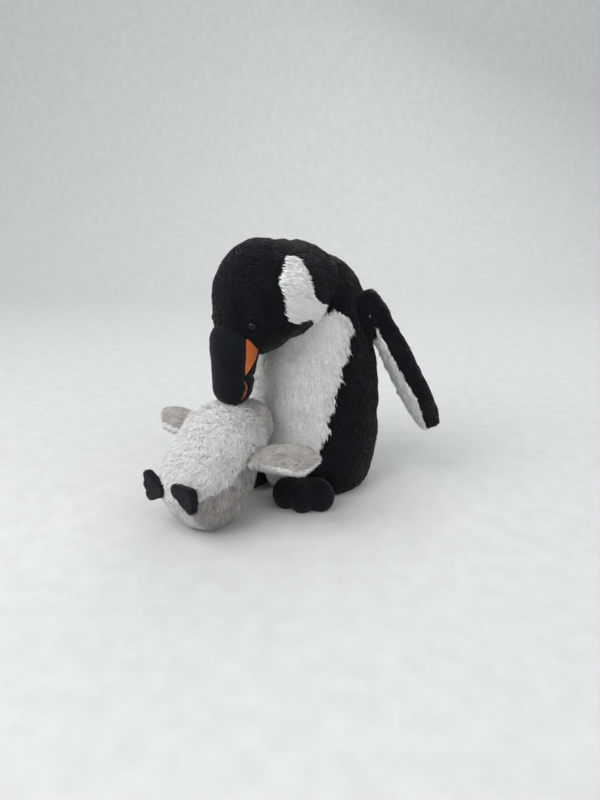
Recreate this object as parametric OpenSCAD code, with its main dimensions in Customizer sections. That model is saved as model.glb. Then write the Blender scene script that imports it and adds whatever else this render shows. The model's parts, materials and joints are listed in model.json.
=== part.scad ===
/* [Fabric] */
// Thickness of the plush fabric skins
skin = 1.6; // [1:0.1:2.5]
// Gap kept between a skin and the stuffing behind it
ease = 0.2; // [0.1:0.1:0.5]
// Gap kept between two pieces that move against each other
slip = 0.6; // [0.4:0.1:1.5]

/* [Body] */
// Radius of the flat base
base_r = 40; // [36:1:44]
// Largest radius of the body
belly_r = 55; // [52:1:57]
// Height at which the body is widest
belly_z = 58; // [50:1:64]
// Radius of the round shoulders
shoulder_r = 39.5; // [37:0.5:41]
// Height of the middle of the shoulders, where the neck bends
shoulder_z = 159; // [155:1:162]
// Radius of the pellet bag
bag_r = 33; // [26:1:35]
// Height of the pellet bag
bag_h = 18; // [12:1:24]

/* [Head] */
// Radius of the head
head_r = 40; // [36:1:40]
// Radius of the face just above the beak
face_r = 28; // [27:1:31]
// Radius of the neck
neck_r = 35; // [32:1:35]
// Radius of the glossy part of an eye
eye_r = 3.4; // [2.5:0.1:4]
// Radius of an eye's shank
shank_r = 1.2; // [1:0.1:1.5]
// Length of an eye's shank
shank_l = 7; // [6:0.5:8]
// Radius of the washer that locks an eye
washer_r = 4.4; // [4:0.1:5]

/* [Beak] */
// Radius of the beak where it leaves the face
beak_root_r = 18.5; // [17:0.5:20]
// Radius of the beak at its tip
beak_tip_r = 15; // [13:0.5:15.5]

/* [Wings] */
// Length of a wing from the shoulder to the tip
wing_l = 109; // [98:1:114]
// Widest part of a wing
wing_w = 42; // [36:1:46]
// Thickness of one wing panel with its pile backing
wing_panel = 2.2; // [1.6:0.1:3]
// Thickness of the wadding in a wing
wing_fill = 9; // [4:0.5:12]

/* [Feet] */
// Radius of a toe
toe_r = 11; // [9:0.5:11.5]
// Length from the heel to the middle of a toe tip
toe_l = 24; // [20:1:28]
// Angle between neighbouring toes
toe_spread = 36; // [26:1:36]
// Angle of a foot out from straight ahead
foot_splay = 36; // [32:1:42]
// Height of a foot
foot_h = 23; // [20:1:25]
// Height of the sole's edge
sole_h = 4; // [3:1:6]

/* [Chick] */
// Radius of the chick's seat
chick_seat_r = 30.5; // [28:0.5:31]
// Radius of the chick's chest
chick_chest_r = 28.5; // [26:0.5:29]
// Radius of the chick's head
chick_head_r = 19; // [18:0.5:19.5]
// Length of a chick's wing
chick_wing_l = 46; // [40:1:48]
// Width of a chick's wing
chick_wing_w = 26; // [22:1:28]
// Length of a chick's foot
chick_foot_l = 28; // [24:1:30]

/* [Hidden] */
$fn = 64;
round_step = 10;
arc_steps = 7;
shoulder_join = 15;
join_r = shoulder_r * cos(shoulder_join);
join_z = shoulder_z + shoulder_r * sin(shoulder_join);
far = 200;

neck_at = [0, -24, 176];
head_at = [0, -55, 175];
face_at = [0, -70, 157];
beak_root_at = [0, -86, 141];
beak_tip_at = [0, -90, 107];
mouth_y = -92;
eye_turn = 39;
eye_at = face_at + (face_r + 0.1) * [cos(eye_turn), -sin(eye_turn), 0];

wing_at = [48.4, 23, 152];
wing_turn = [21, -17, 0];
wing_twist = -34;
wing_cap = 8;

foot_at = 41;
toe_fill = 5;
chick_seat_at = [0, -121, 31];
chick_chest_at = [0, -100, 58];
chick_head_at = [0, -78, 72];
chick_lean = atan2(chick_chest_at[2] - chick_seat_at[2], chick_chest_at[1] - chick_seat_at[1]);
chick_wing_at = [35.5, -98, 59];
chick_wing_turn = [[28, 3, 50], [10, -8, -6]];
chick_foot_at = [[11, -150, 42], [9, -151, 37]];
chick_foot_fan = [17, 24];
chick_foot_droop = [102, 96];
stitch_z = 72;
stitch_y = [-58.3, -54.8];

// Half outline of a pod: a ball at each end joined by a straight taper
function pod_outline(l, ra, rb) = let (lean = asin((ra - rb) / l)) concat(
    [for (i = [0 : arc_steps]) let (a = -90 + (90 + lean) * i / arc_steps) [ra * cos(a), ra * sin(a)]],
    [for (i = [0 : arc_steps]) let (a = lean + (90 - lean) * i / arc_steps) [rb * cos(a), l + rb * sin(a)]]
);
// A pod from a to b with a radius at each end
module pod(a, b, ra, rb) {
    d = b - a;
    l = norm(d);
    translate(a) rotate([0, acos(d[2] / l), atan2(d[1], d[0])]) rotate_extrude() polygon(pod_outline(l, ra, rb));
}

// ---- Adult body: a pear with a flat base and round shoulders ----
function body_outline(inset) = concat(
    [[0, inset]],
    [for (a = [0 : round_step : 80])
        [base_r + (belly_r - base_r) * sin(a) - inset, belly_z * (1 - cos(a)) + inset * cos(a)]],
    [for (a = [0 : round_step : 80])
        [join_r + (belly_r - join_r) * cos(a) - inset, belly_z + (join_z - belly_z) * a / 90]],
    [for (a = [shoulder_join : 7.5 : 90])
        [(shoulder_r - inset) * cos(a), shoulder_z + (shoulder_r - inset) * sin(a)]]
);
module body_form(inset) rotate_extrude() polygon(body_outline(inset));
module body_shell() {
    difference() {
        body_form(0);
        body_form(skin);
    }
}
// Front outline of the white bib, wide at the shoulders and narrow at the base
module bib_outline() {
    side = [[18, 3], [28, 24], [36, 40], [44, 58], [48, 86], [47, 120], [40, 146], [28, 155], [0, 157]];
    polygon(concat(side, [for (i = [7 : -1 : 0]) [-side[i][0], side[i][1]]]));
}
module bib_window() rotate([90, 0, 0]) linear_extrude(far) bib_outline();
module base_slab() cylinder(h = skin, r = base_r - 2);

module body_back() color("#17171a") difference() {
    body_shell();
    bib_window();
    base_slab();
}
module belly_panel() color("#f1efe9") difference() {
    intersection() {
        body_shell();
        bib_window();
    }
    base_slab();
}
module base_panel() color("#1d1d20") base_slab();
module bag_form(inset) translate([0, 0, 4 + inset]) {
    cylinder(h = bag_h - 2 * inset, r = bag_r - 6);
    translate([0, 0, 3]) cylinder(h = bag_h - 6 - 2 * inset, r = bag_r - inset);
}
module body_stuffing() color("#e8e6df") difference() {
    body_form(skin + ease);
    bag_form(-ease);
}
module pellet_bag() color("#d8d2c2") bag_form(0);

// ---- Adult head: a round head on a bent neck that slides over the shoulders ----
module head_form(inset) difference() {
    union() {
        pod(neck_at, head_at, neck_r - inset, head_r - inset);
        translate(face_at) sphere(face_r - inset);
    }
    body_form(-slip - inset);
}
module head_shell() difference() {
    head_form(0);
    head_form(skin);
}
// Side outline of a cheek patch, a round lobe with a tail that sweeps to the shoulder
module patch_outline() {
    polygon([[-45, 203], [-56, 204], [-66, 198], [-70, 187], [-66, 174], [-68, 164], [-60, 159],
        [-50, 163], [-40, 160], [-30, 150], [-18, 140], [-14, 148], [-22, 162], [-30, 172], [-36, 186],
        [-39, 196]]);
}
module patch_window(side) {
    x0 = side > 0 ? 12 : -far - 12;
    translate([x0, 0, 0]) rotate([90, 0, 90]) linear_extrude(far) patch_outline();
}
module mirrored(side) {
    if (side > 0) children();
    else mirror([1, 0, 0]) children();
}
// Local +Z points out of the head at the left eye
module at_eye() translate(eye_at) rotate([0, 0, -eye_turn]) rotate([0, 90, 0]) children();
module eye_shaft(r, l) translate([0, 0, -l]) cylinder(h = l, r = r);

module head_skin() color("#141417") difference() {
    head_shell();
    patch_window(1);
    patch_window(-1);
    for (s = [1, -1]) mirrored(s) at_eye() translate([0, 0, 2]) eye_shaft(shank_r + ease, shank_l + 2);
}
module ear_patch(side) color("#f5f4ef") intersection() {
    head_shell();
    patch_window(side);
}
module eye_space() at_eye() {
    translate([0, 0, 2]) eye_shaft(shank_r + ease, shank_l + 3);
    translate([0, 0, -3]) eye_shaft(washer_r + ease, 2.6);
}
module head_stuffing() color("#e8e6df") difference() {
    head_form(skin + ease);
    for (s = [1, -1]) mirrored(s) eye_space();
}
module eye(side) color("#0a0a0a") mirrored(side) at_eye() {
    difference() {
        sphere(eye_r);
        translate([0, 0, -2 * eye_r]) cube(4 * eye_r, center = true);
    }
    eye_shaft(shank_r, shank_l);
}
module eye_washer(side) color("#d9d9d6") mirrored(side) at_eye() translate([0, 0, -3.2]) difference() {
    eye_shaft(washer_r, 2);
    translate([0, 0, 1]) eye_shaft(shank_r + 0.05, 4);
}

// ---- Beak: one stuffed tube split along the mouth ----
module beak_form(inset) difference() {
    pod(beak_root_at, beak_tip_at, beak_root_r - inset, beak_tip_r - inset);
    translate(face_at) sphere(face_r + ease);
    translate(head_at) sphere(head_r + ease);
}
module beak_shell() difference() {
    beak_form(0);
    pod(beak_root_at, beak_tip_at, beak_root_r - skin, beak_tip_r - skin);
}
module stripe_window(side) {
    x0 = side > 0 ? 11 : -far - 11;
    translate([x0, 0, 0]) rotate([90, 0, 90]) linear_extrude(far)
        polygon([[mouth_y, 170], [-80, 170], [-78, 140], [-80, 130], [-86, 121], [mouth_y, 117]]);
}
module lower_half() translate([-far / 2, mouth_y, 0]) cube([far, far, far]);
module beak_upper() color("#101013") difference() {
    beak_shell();
    lower_half();
}
module beak_lower() color("#101013") difference() {
    intersection() {
        beak_shell();
        lower_half();
    }
    stripe_window(1);
    stripe_window(-1);
}
module beak_stripe(side) color("#f0803c") intersection() {
    beak_shell();
    lower_half();
    stripe_window(side);
}
module beak_stuffing() color("#e8e6df") beak_form(skin + ease);

// ---- Wings: a black outer panel, a white lining and wadding between them ----
// Outline of a wing that hangs from its root at the origin, with a round root and tip
module paddle_outline(l, w, cap) {
    hull() {
        circle(cap, $fn = 32);
        translate([0, -0.62 * l]) circle(w / 2, $fn = 32);
        translate([0, -(l - 0.22 * w)]) circle(0.22 * w, $fn = 32);
    }
}
module wing_layer(from, thick, trim) translate([0, from + thick, 0]) rotate([90, 0, 0])
    linear_extrude(thick) paddle_outline(wing_l - trim, wing_w - 2 * trim, wing_cap - trim);
module at_wing(side) mirrored(side) translate(wing_at) rotate(wing_turn) rotate([0, 0, wing_twist]) children();
module wing_outer(side) color("#17171a") at_wing(side) wing_layer(wing_fill / 2, wing_panel, 0);
module wing_lining(side) color("#f1efe9") at_wing(side) wing_layer(-wing_fill / 2 - wing_panel, wing_panel, 0);
module wing_filling(side) color("#e8e6df") at_wing(side) wing_layer(-wing_fill / 2, wing_fill, 1);

// ---- Feet: three round toes on a pad, kept clear of the body ----
module foot_outline(trim) for (t = [-1 : 1]) rotate([0, 0, t * toe_spread]) {
    circle(toe_r - 1 - trim);
    translate([0, -toe_l]) circle(toe_r - trim);
    translate([-toe_r + 1 + trim, -toe_l]) square([2 * (toe_r - 1 - trim), toe_l]);
}
module foot_form(inset) difference() {
    translate([0, 0, inset]) linear_extrude(foot_h - 2 * inset) foot_outline(inset);
    translate([0, foot_at, 0]) body_form(-slip - inset);
}
module at_foot(side) mirrored(side) rotate([0, 0, foot_splay]) translate([0, -foot_at, 0]) children();
module sole_half() translate([-far / 2, -far / 2, -far]) cube([far, far, far + sole_h]);
module foot_shell() difference() {
    foot_form(0);
    foot_form(skin);
}
module foot_upper(side) color("#151517") at_foot(side) difference() {
    foot_shell();
    sole_half();
}
module foot_sole(side) color("#1c1c1f") at_foot(side) intersection() {
    foot_shell();
    sole_half();
}
module foot_stuffing(side) color("#e8e6df") at_foot(side) foot_form(toe_fill);

// ---- Chick: lies on its back with its head against the adult ----
module chick_form(inset) difference() {
    pod(chick_seat_at, chick_chest_at, chick_seat_r - inset, chick_chest_r - inset);
    translate(chick_head_at) sphere(chick_head_r + ease + inset);
}
module chick_shell() difference() {
    chick_form(0);
    chick_form(skin);
}
// Local frame along the chick's back, +Y towards its head and +Z out of its belly
module along_chick() translate(chick_seat_at) rotate([chick_lean, 0, 0]) children();
module chick_bib() along_chick() translate([0, 6, 6]) linear_extrude(far) scale([1, 1.6]) circle(22);
module chick_seat_cut() along_chick() rotate([90, 0, 0]) translate([0, -6, 9]) cylinder(h = far, r = 19);
module chick_back() color("#9b948f") difference() {
    chick_shell();
    chick_bib();
    chick_seat_cut();
}
module chick_belly_panel() color("#f3f1ec") intersection() {
    chick_shell();
    chick_bib();
}
module chick_seat_panel() color("#d9d5d0") difference() {
    intersection() {
        chick_shell();
        chick_seat_cut();
    }
    chick_bib();
}
module chick_stuffing() color("#e8e6df") chick_form(skin + ease);
module chick_head_skin() color("#a39c96") translate(chick_head_at) difference() {
    sphere(chick_head_r);
    sphere(chick_head_r - skin);
    for (s = [-1 : 1]) chick_face(s) translate([0, 0, chick_head_r - 3]) cylinder(h = 6, r = 2);
}
module chick_head_stuffing() color("#e8e6df") translate(chick_head_at) difference() {
    sphere(chick_head_r - skin - ease);
    for (s = [-1 : 1]) chick_face(s) translate([0, 0, chick_head_r - 4.2]) cylinder(h = 6, r = 2.2);
}
// Local +Z points out of the chick's head, at the beak for 0 and at an eye for -1 and 1
module chick_face(s) rotate([35, 0, 0]) rotate([0, 50 * s, 0]) children();
module chick_beak() color("#2a2523") translate(chick_head_at) chick_face(0)
    translate([0, 0, chick_head_r - 2.8]) {
        cylinder(h = 3, r = 1.8);
        translate([0, 0, 3]) cylinder(h = 3.6, r1 = 2.6, r2 = 0.9);
    }
module chick_eye(side) color("#0a0a0a") translate(chick_head_at) chick_face(side)
    translate([0, 0, chick_head_r - 3.6]) {
        cylinder(h = 4, r = 1.8);
        translate([0, 0, 3.8]) cylinder(h = 1.4, r1 = 2.6, r2 = 1.4);
    }
module chick_wing_layer(from, thick) translate([0, 0, from]) linear_extrude(thick)
    rotate([0, 0, 90]) paddle_outline(chick_wing_l, chick_wing_w, 6);
// The chick's left wing lies back over the foot and its right wing is spread out
module at_chick_wing(side) mirrored(side) translate(chick_wing_at)
    rotate(chick_wing_turn[side > 0 ? 0 : 1]) children();
module chick_wing_outer(side) color("#a39c96") at_chick_wing(side) chick_wing_layer(0, 3);
module chick_wing_lining(side) color("#f3f1ec") at_chick_wing(side) chick_wing_layer(-3, 3);
// A flat lobed pad that points outwards from the front of the seat
module chick_foot(side) color("#121214") mirrored(side) {
    pose = side > 0 ? 0 : 1;
    translate(chick_foot_at[pose]) rotate([90, 0, 0]) linear_extrude(6) for (t = [-1 : 1])
        rotate([0, 0, chick_foot_fan[pose] * t - chick_foot_droop[pose]]) hull() {
            circle(5, $fn = 32);
            translate([0, chick_foot_l - 10]) circle(4.8, $fn = 32);
        }
}

// Thread that tacks the nape of the chick to the adult's belly
module lap_stitches() color("#55504c") for (x = [-4.5, -1.5, 1.5, 4.5])
    translate([x, stitch_y[0], stitch_z]) rotate([-90, 0, 0])
        cylinder(h = stitch_y[1] - stitch_y[0], r = 0.6);

body_back();
belly_panel();
base_panel();
body_stuffing();
pellet_bag();
head_skin();
ear_patch(1);  // ear_patch_left
ear_patch(-1);  // ear_patch_right
head_stuffing();
eye(1);  // eye_left
eye(-1);  // eye_right
eye_washer(1);  // eye_washer_left
eye_washer(-1);  // eye_washer_right
beak_upper();
beak_lower();
beak_stripe(1);  // beak_stripe_left
beak_stripe(-1);  // beak_stripe_right
beak_stuffing();
wing_outer(1);  // wing_left_outer
wing_lining(1);  // wing_left_lining
wing_filling(1);  // wing_left_filling
wing_outer(-1);  // wing_right_outer
wing_lining(-1);  // wing_right_lining
wing_filling(-1);  // wing_right_filling
foot_upper(1);  // foot_left_upper
foot_sole(1);  // foot_left_sole
foot_stuffing(1);  // foot_left_stuffing
foot_upper(-1);  // foot_right_upper
foot_sole(-1);  // foot_right_sole
foot_stuffing(-1);  // foot_right_stuffing
chick_back();
chick_belly_panel();
chick_seat_panel();
chick_stuffing();
chick_head_skin();
chick_head_stuffing();
chick_beak();
chick_eye(1);  // chick_eye_left
chick_eye(-1);  // chick_eye_right
chick_wing_outer(1);  // chick_wing_left_outer
chick_wing_lining(1);  // chick_wing_left_lining
chick_wing_outer(-1);  // chick_wing_right_outer
chick_wing_lining(-1);  // chick_wing_right_lining
chick_foot(1);  // chick_foot_left
chick_foot(-1);  // chick_foot_right
lap_stitches();
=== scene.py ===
import json
import math

import bmesh
import bpy
import numpy as np
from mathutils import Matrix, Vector


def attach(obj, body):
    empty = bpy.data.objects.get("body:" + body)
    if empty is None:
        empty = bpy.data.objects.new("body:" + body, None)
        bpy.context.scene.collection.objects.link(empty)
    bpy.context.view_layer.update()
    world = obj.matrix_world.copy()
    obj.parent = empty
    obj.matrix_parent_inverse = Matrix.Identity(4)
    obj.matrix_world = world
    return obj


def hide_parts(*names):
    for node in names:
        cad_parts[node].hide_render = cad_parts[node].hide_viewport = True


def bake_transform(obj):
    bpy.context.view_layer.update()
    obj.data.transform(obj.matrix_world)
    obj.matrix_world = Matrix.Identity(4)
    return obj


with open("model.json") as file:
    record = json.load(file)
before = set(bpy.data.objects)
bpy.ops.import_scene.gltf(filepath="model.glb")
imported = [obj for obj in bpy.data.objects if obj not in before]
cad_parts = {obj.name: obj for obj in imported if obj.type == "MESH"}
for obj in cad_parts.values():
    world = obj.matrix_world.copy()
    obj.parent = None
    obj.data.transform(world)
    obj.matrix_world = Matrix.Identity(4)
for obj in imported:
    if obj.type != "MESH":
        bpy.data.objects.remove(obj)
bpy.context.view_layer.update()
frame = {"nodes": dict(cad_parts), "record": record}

nodes = frame["nodes"]
MM = 0.001
SIDES = (("left", 1), ("right", -1))
FLOOR_GAP = 0.2     # the least height of a tuft's points


# ---------------------------------------------------------------- materials
def set_input(shader, names, value):
    """Set the first of these inputs that the shader has: their names differ between versions."""
    for name in names:
        if name in shader.inputs:
            shader.inputs[name].default_value = value
            return


def material(name):
    """A new material, its node tree, its shader and the node that gives its coordinates."""
    mat = bpy.data.materials.new(name)
    mat.use_nodes = True
    tree = mat.node_tree
    return mat, tree, tree.nodes["Principled BSDF"], tree.nodes.new("ShaderNodeTexCoord")


def noise(tree, place, scale, detail=2):
    node = tree.nodes.new("ShaderNodeTexNoise")
    node.inputs["Scale"].default_value = scale
    node.inputs["Detail"].default_value = detail
    tree.links.new(place.outputs["Object"], node.inputs["Vector"])
    return node


def ramp(tree, source, low, high, ends=(0.0, 1.0)):
    """A colour that runs from low to high while the noise rises between the two ends."""
    node = tree.nodes.new("ShaderNodeValToRGB")
    for stop, at, colour in zip(node.color_ramp.elements, ends, (low, high)):
        stop.position = at
        stop.color = (*colour, 1)
    tree.links.new(source.outputs["Fac"], node.inputs["Fac"])
    return node


def cloth(name, root, tip, accent, patch=70, grain=1400, bump=0.25, sheen=0.3, rough=0.9, glint=0.0):
    """Fabric whose colour varies in patches, and from the root to the tip of its pile. The darker root colour
    is painted shade at the base of the pile, and it also colours the bare panels, which have no tip values.
    """
    mat, tree, shader, place = material(name)
    fine = noise(tree, place, grain, 3)
    patches = ramp(tree, noise(tree, place, patch, 4), tip, accent, (0.38, 0.66))
    along = tree.nodes.new("ShaderNodeAttribute")
    along.attribute_name = "tip"
    # painted shade: this mix darkens the colour towards the root of each tuft, and panels without tip values
    # take the darker root colour
    painted_root_shade = tree.nodes.new("ShaderNodeMix")
    painted_root_shade.data_type = "RGBA"
    painted_root_shade.inputs["A"].default_value = (*root, 1)
    tree.links.new(along.outputs["Fac"], painted_root_shade.inputs["Factor"])
    tree.links.new(patches.outputs["Color"], painted_root_shade.inputs["B"])
    speck = tree.nodes.new("ShaderNodeMix")
    speck.data_type = "RGBA"
    speck.blend_type = "MULTIPLY"
    speck.inputs["Factor"].default_value = 0.5
    grey = ramp(tree, fine, (0.62, 0.62, 0.62), (1.25, 1.25, 1.25), (0.3, 0.7))
    tree.links.new(painted_root_shade.outputs["Result"], speck.inputs["A"])
    tree.links.new(grey.outputs["Color"], speck.inputs["B"])
    tree.links.new(speck.outputs["Result"], shader.inputs["Base Color"])
    relief = tree.nodes.new("ShaderNodeBump")
    relief.inputs["Strength"].default_value = bump
    relief.inputs["Distance"].default_value = 0.0004
    tree.links.new(fine.outputs["Fac"], relief.inputs["Height"])
    tree.links.new(relief.outputs["Normal"], shader.inputs["Normal"])
    set_input(shader, ["Roughness"], rough)
    set_input(shader, ["Sheen Weight", "Sheen"], sheen)
    set_input(shader, ["Sheen Roughness"], 0.45)
    set_input(shader, ["Specular IOR Level", "Specular"], 0.08 + glint)
    return mat


def smooth(name, dark, light, rough, scale, spec=0.5):
    """Plastic with faint mottling in its colour and gloss."""
    mat, tree, shader, place = material(name)
    mottle = noise(tree, place, scale)
    tree.links.new(ramp(tree, mottle, dark, light).outputs["Color"], shader.inputs["Base Color"])
    spread = tree.nodes.new("ShaderNodeMapRange")
    spread.inputs["To Min"].default_value = rough * 0.8
    spread.inputs["To Max"].default_value = rough * 1.2
    tree.links.new(mottle.outputs["Fac"], spread.inputs["Value"])
    tree.links.new(spread.outputs["Result"], shader.inputs["Roughness"])
    set_input(shader, ["Specular IOR Level", "Specular"], spec)
    return mat


# each fabric's colour at the root of its pile, which is darker there as painted shade of the pile, at the tip,
# and in patches, and its other settings
FABRICS = {
    "black_plush": ((0.004, 0.005, 0.006), (0.007, 0.009, 0.011), (0.012, 0.015, 0.018), {"sheen": 0.1}),
    "white_plush": ((0.86, 0.86, 0.82), (0.97, 0.97, 0.94), (0.90, 0.90, 0.86), {"sheen": 0.1, "glint": 0.1}),
    "white_fleece": ((0.76, 0.76, 0.73), (0.98, 0.98, 0.96), (0.95, 0.95, 0.92), {"sheen": 0.1}),
    "grey_plush": ((0.34, 0.315, 0.295), (0.58, 0.545, 0.515), (0.44, 0.41, 0.385),
                   {"patch": 130, "sheen": 0.1}),
    "pale_plush": ((0.60, 0.58, 0.56), (0.84, 0.82, 0.79), (0.70, 0.68, 0.65), {"patch": 130, "sheen": 0.1}),
    "black_felt": ((0.008, 0.010, 0.012), (0.012, 0.014, 0.017), (0.016, 0.019, 0.022),
                   {"grain": 2400, "bump": 0.35, "sheen": 0.1}),
    "orange_felt": ((0.74, 0.20, 0.055), (0.74, 0.20, 0.055), (0.66, 0.16, 0.04),
                    {"grain": 2400, "bump": 0.3, "sheen": 0.12}),
    "chick_beak_felt": ((0.02, 0.018, 0.017), (0.03, 0.026, 0.024), (0.04, 0.034, 0.031), {"grain": 2400}),
    "stuffing": ((0.80, 0.80, 0.77), (0.88, 0.88, 0.85), (0.72, 0.72, 0.69),
                 {"patch": 160, "grain": 900, "bump": 0.8}),
    "bag_cloth": ((0.62, 0.58, 0.48), (0.7, 0.66, 0.56), (0.56, 0.52, 0.43),
                  {"patch": 240, "grain": 1800, "bump": 0.6}),
    "thread": ((0.05, 0.045, 0.042), (0.1, 0.09, 0.085), (0.14, 0.13, 0.12),
               {"patch": 900, "grain": 5000, "bump": 0.6, "sheen": 0.1, "rough": 0.7}),
}
MATS = {name: cloth(name, *colours, **settings) for name, (*colours, settings) in FABRICS.items()}
MATS["eye_plastic"] = smooth("eye_plastic", (0.003, 0.003, 0.0035), (0.006, 0.006, 0.007), 0.24, 600, spec=0.22)
MATS["washer_plastic"] = smooth("washer_plastic", (0.70, 0.70, 0.68), (0.78, 0.78, 0.76), 0.45, 400)
for part in frame["record"]["subparts"]:
    holder = nodes[part["node"]].data
    holder.materials.clear()
    holder.materials.append(MATS[part["material_slot"]])


# ---------------------------------------------------------------- mesh tools
def build(name, points, faces, slot, body=None, tips=None):
    """A mesh object from points in millimetres and triangles or quads."""
    points = np.asarray(points, float)
    faces = np.asarray(faces, np.int32)
    side = faces.shape[1]
    me = bpy.data.meshes.new(name)
    me.vertices.add(len(points))
    me.vertices.foreach_set("co", (points * MM).astype(np.float32).ravel())
    me.loops.add(faces.size)
    me.loops.foreach_set("vertex_index", faces.ravel())
    me.polygons.add(len(faces))
    me.polygons.foreach_set("loop_start", np.arange(0, faces.size, side, dtype=np.int32))
    me.polygons.foreach_set("use_smooth", np.ones(len(faces), bool))
    me.update(calc_edges=True)
    me.materials.append(MATS[slot])
    if tips is not None:
        at = me.attributes.new("tip", "FLOAT", "POINT")
        at.data.foreach_set("value", np.asarray(tips, np.float32))
    obj = bpy.data.objects.new(name, me)
    bpy.context.scene.collection.objects.link(obj)
    if body:
        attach(obj, body)
    return obj


def trimmed(points, faces, keep):
    """The kept faces and only the points that they use."""
    faces = faces[keep]
    used, flat = np.unique(faces, return_inverse=True)
    return points[used], flat.reshape(faces.shape)


def centres(points, faces):
    """The middle of each face."""
    return points[faces].mean(axis=1)


def point_normals(points, faces):
    a, b, c = (points[faces[:, i]] for i in range(3))
    n = np.cross(b - a, c - a)
    out = np.zeros_like(points)
    for i in range(3):
        np.add.at(out, faces[:, i], n)
    return out / np.maximum(np.linalg.norm(out, axis=1), 1e-9)[:, None]


_balls = {}


def ball_mesh(level):
    """Directions and triangles of an icosphere, made once for each level."""
    if level not in _balls:
        bm = bmesh.new()
        bmesh.ops.create_icosphere(bm, subdivisions=level, radius=1.0)
        bm.verts.ensure_lookup_table()
        v = np.array([p.co[:] for p in bm.verts])
        f = np.array([[p.index for p in t.verts] for t in bm.faces], np.int32)
        bm.free()
        _balls[level] = (v / np.linalg.norm(v, axis=1)[:, None], f)
    return _balls[level]


def star(centre, inside, level, far=175.0):
    """The surface where inside() changes sign, seen from a centre point."""
    d, f = ball_mesh(level)
    lo, hi = np.zeros(len(d)), np.full(len(d), far)
    for _ in range(24):
        mid = (lo + hi) / 2
        low = inside(centre + d * mid[:, None]) < 0
        lo, hi = np.where(low, mid, lo), np.where(low, hi, mid)
    return centre + d * lo[:, None], f.copy()


def unit(v):
    return v / np.maximum(np.linalg.norm(v, axis=-1), 1e-9)[..., None]


def waves(seed, low, high, count=10):
    """A smooth random field of three components, with waves from low to high millimetres long."""
    r = np.random.default_rng(seed)
    k = unit(r.normal(size=(count, 3))) * (2 * np.pi / r.uniform(low, high, count))[:, None]
    phase, mix = r.uniform(0, 2 * np.pi, count), r.normal(size=(count, 3)) / math.sqrt(count)
    return lambda p: np.sin(p @ k.T + phase) @ mix


# a tuft: root ring 0 1 2, middle ring 3 4 5, tip 6, and where its points lie in its own cell of the UV map
FACES = np.array([[0, 2, 1], [0, 1, 4], [0, 4, 3], [1, 2, 5], [1, 5, 4], [2, 0, 3], [2, 3, 5],
                  [3, 4, 6], [4, 5, 6], [5, 3, 6]], np.int32)
CELL = {0: (0, .1), 1: (.33, .1), 2: (.66, .1), 3: (0, .5), 4: (.33, .5), 5: (.66, .5), 6: (.5, .92)}


def cell_corners():
    """The UV corners of a tuft's triangles in a unit cell, with no two triangles on one spot."""
    out = []
    for t in FACES:
        corner = [list(CELL[int(i)]) for i in t]
        if set(t) == {0, 1, 2}:
            corner = [[0, 0.0], [.3, 0.0], [.15, .06]]
        elif 0 in t and 2 in t or (2 in t and 3 in t) or (5 in t and 3 in t):
            corner = [[1.0 if int(i) in (0, 3) else c[0], c[1]] for i, c in zip(t, corner)]
        out += corner
    return np.array(out) * 0.9 + 0.05


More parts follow.
